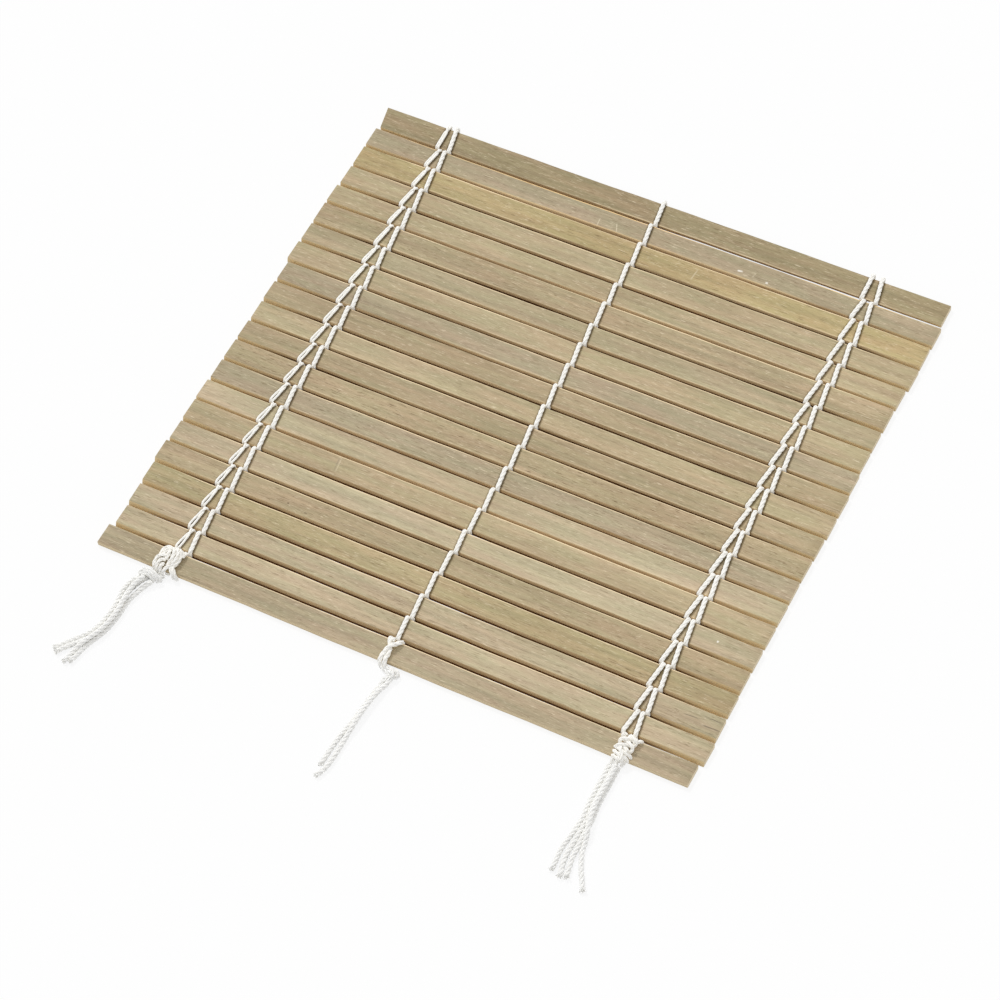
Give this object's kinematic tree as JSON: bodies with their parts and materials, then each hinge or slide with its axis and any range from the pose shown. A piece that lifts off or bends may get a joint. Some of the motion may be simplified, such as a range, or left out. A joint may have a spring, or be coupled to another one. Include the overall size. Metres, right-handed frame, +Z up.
{
  "type": "bamboo rolling mat",
  "caption": "Flat rolling mat of narrow bamboo slats lashed side by side with knotted cotton string, so that it rolls up round food.",
  "frame": {"origin": "middle of the lashed mat, on the surface that it lies on", "axes": "+X along the slats, +Y across them to the far slat, away from the knots, +Z up"},
  "size_m": [0.2412, 0.274, 0.0054],
  "materials": {
    "bamboo": "dry split bamboo, matte tan with fine lengthwise fibres",
    "cotton_string": "undyed two-ply twisted cotton string, matte"
  },
  "bodies": {
    "slat_01": {"slat_01": "bamboo"},
    "slat_02": {"slat_02": "bamboo"},
    "slat_03": {"slat_03": "bamboo"},
    "slat_04": {"slat_04": "bamboo"},
    "slat_05": {"slat_05": "bamboo"},
    "slat_06": {"slat_06": "bamboo"},
    "slat_07": {"slat_07": "bamboo"},
    "slat_08": {"slat_08": "bamboo"},
    "slat_09": {"slat_09": "bamboo"},
    "slat_10": {"slat_10": "bamboo"},
    "slat_11": {"slat_11": "bamboo"},
    "slat_12": {"slat_12": "bamboo", "string_left_outer": "cotton_string", "string_left_inner": "cotton_string", "string_middle": "cotton_string", "string_right_inner": "cotton_string", "string_right_outer": "cotton_string"},
    "slat_13": {"slat_13": "bamboo"},
    "slat_14": {"slat_14": "bamboo"},
    "slat_15": {"slat_15": "bamboo"},
    "slat_16": {"slat_16": "bamboo"},
    "slat_17": {"slat_17": "bamboo"},
    "slat_18": {"slat_18": "bamboo"},
    "slat_19": {"slat_19": "bamboo"},
    "slat_20": {"slat_20": "bamboo"},
    "slat_21": {"slat_21": "bamboo"},
    "slat_22": {"slat_22": "bamboo", "knot_left": "cotton_string", "knot_middle": "cotton_string", "knot_right": "cotton_string", "tail_knot_left": "cotton_string", "tail_knot_middle": "cotton_string", "tail_left_1": "cotton_string", "tail_left_2": "cotton_string", "tail_left_3": "cotton_string", "tail_left_4": "cotton_string", "tail_middle_1": "cotton_string", "tail_middle_2": "cotton_string", "tail_right_1": "cotton_string", "tail_right_2": "cotton_string", "tail_right_3": "cotton_string", "tail_right_4": "cotton_string"}
  },
  "joints": [
    {"name": "fold_01", "type": "hinge", "parent": "slat_02", "child": "slat_01", "pos_m": [0, 0.1006, 0.0011], "axis": [1, 0, 0], "range_deg": [-42, 42]},
    {"name": "fold_02", "type": "hinge", "parent": "slat_03", "child": "slat_02", "pos_m": [0, 0.09095, 0.0011], "axis": [1, 0, 0], "range_deg": [-40, 40]},
    {"name": "fold_03", "type": "hinge", "parent": "slat_04", "child": "slat_03", "pos_m": [0, 0.0803, 0.0011], "axis": [1, 0, 0], "range_deg": [-38, 38]},
    {"name": "fold_04", "type": "hinge", "parent": "slat_05", "child": "slat_04", "pos_m": [0, 0.07005, 0.0011], "axis": [1, 0, 0], "range_deg": [-36, 36]},
    {"name": "fold_05", "type": "hinge", "parent": "slat_06", "child": "slat_05", "pos_m": [0, 0.0604, 0.0011], "axis": [1, 0, 0], "range_deg": [-35, 35]},
    {"name": "fold_06", "type": "hinge", "parent": "slat_07", "child": "slat_06", "pos_m": [0, 0.04945, 0.0011], "axis": [1, 0, 0], "range_deg": [-33, 33]},
    {"name": "fold_07", "type": "hinge", "parent": "slat_08", "child": "slat_07", "pos_m": [0, 0.0399, 0.0011], "axis": [1, 0, 0], "range_deg": [-32, 32]},
    {"name": "fold_08", "type": "hinge", "parent": "slat_09", "child": "slat_08", "pos_m": [0, 0.02955, 0.0011], "axis": [1, 0, 0], "range_deg": [-30, 30]},
    {"name": "fold_09", "type": "hinge", "parent": "slat_10", "child": "slat_09", "pos_m": [0, 0.0194, 0.0011], "axis": [1, 0, 0], "range_deg": [-29, 29]},
    {"name": "fold_10", "type": "hinge", "parent": "slat_11", "child": "slat_10", "pos_m": [0, 0.00925, 0.0011], "axis": [1, 0, 0], "range_deg": [-28, 28]},
    {"name": "fold_11", "type": "hinge", "parent": "slat_12", "child": "slat_11", "pos_m": [0, -0.0008, 0.0011], "axis": [1, 0, 0], "range_deg": [-27, 27], "deforming": ["string_left_outer", "string_left_inner", "string_middle", "string_right_inner", "string_right_outer"]},
    {"name": "fold_12", "type": "hinge", "parent": "slat_13", "child": "slat_12", "pos_m": [0, -0.01055, 0.0011], "axis": [1, 0, 0], "range_deg": [-26, 26]},
    {"name": "fold_13", "type": "hinge", "parent": "slat_14", "child": "slat_13", "pos_m": [0, -0.0209, 0.0011], "axis": [1, 0, 0], "range_deg": [-25, 25]},
    {"name": "fold_14", "type": "hinge", "parent": "slat_15", "child": "slat_14", "pos_m": [0, -0.03105, 0.0011], "axis": [1, 0, 0], "range_deg": [-25, 25]},
    {"name": "fold_15", "type": "hinge", "parent": "slat_16", "child": "slat_15", "pos_m": [0, -0.0409, 0.0011], "axis": [1, 0, 0], "range_deg": [-24, 24]},
    {"name": "fold_16", "type": "hinge", "parent": "slat_17", "child": "slat_16", "pos_m": [0, -0.05125, 0.0011], "axis": [1, 0, 0], "range_deg": [-23, 23]},
    {"name": "fold_17", "type": "hinge", "parent": "slat_18", "child": "slat_17", "pos_m": [0, -0.0613, 0.0011], "axis": [1, 0, 0], "range_deg": [-22, 22]},
    {"name": "fold_18", "type": "hinge", "parent": "slat_19", "child": "slat_18", "pos_m": [0, -0.07135, 0.0011], "axis": [1, 0, 0], "range_deg": [-22, 22]},
    {"name": "fold_19", "type": "hinge", "parent": "slat_20", "child": "slat_19", "pos_m": [0, -0.0817, 0.0011], "axis": [1, 0, 0], "range_deg": [-21, 21]},
    {"name": "fold_20", "type": "hinge", "parent": "slat_21", "child": "slat_20", "pos_m": [0, -0.09195, 0.0011], "axis": [1, 0, 0], "range_deg": [-21, 21]},
    {"name": "fold_21", "type": "hinge", "parent": "slat_22", "child": "slat_21", "pos_m": [0, -0.1019, 0.0011], "axis": [1, 0, 0], "range_deg": [-20, 20]}
  ]
}
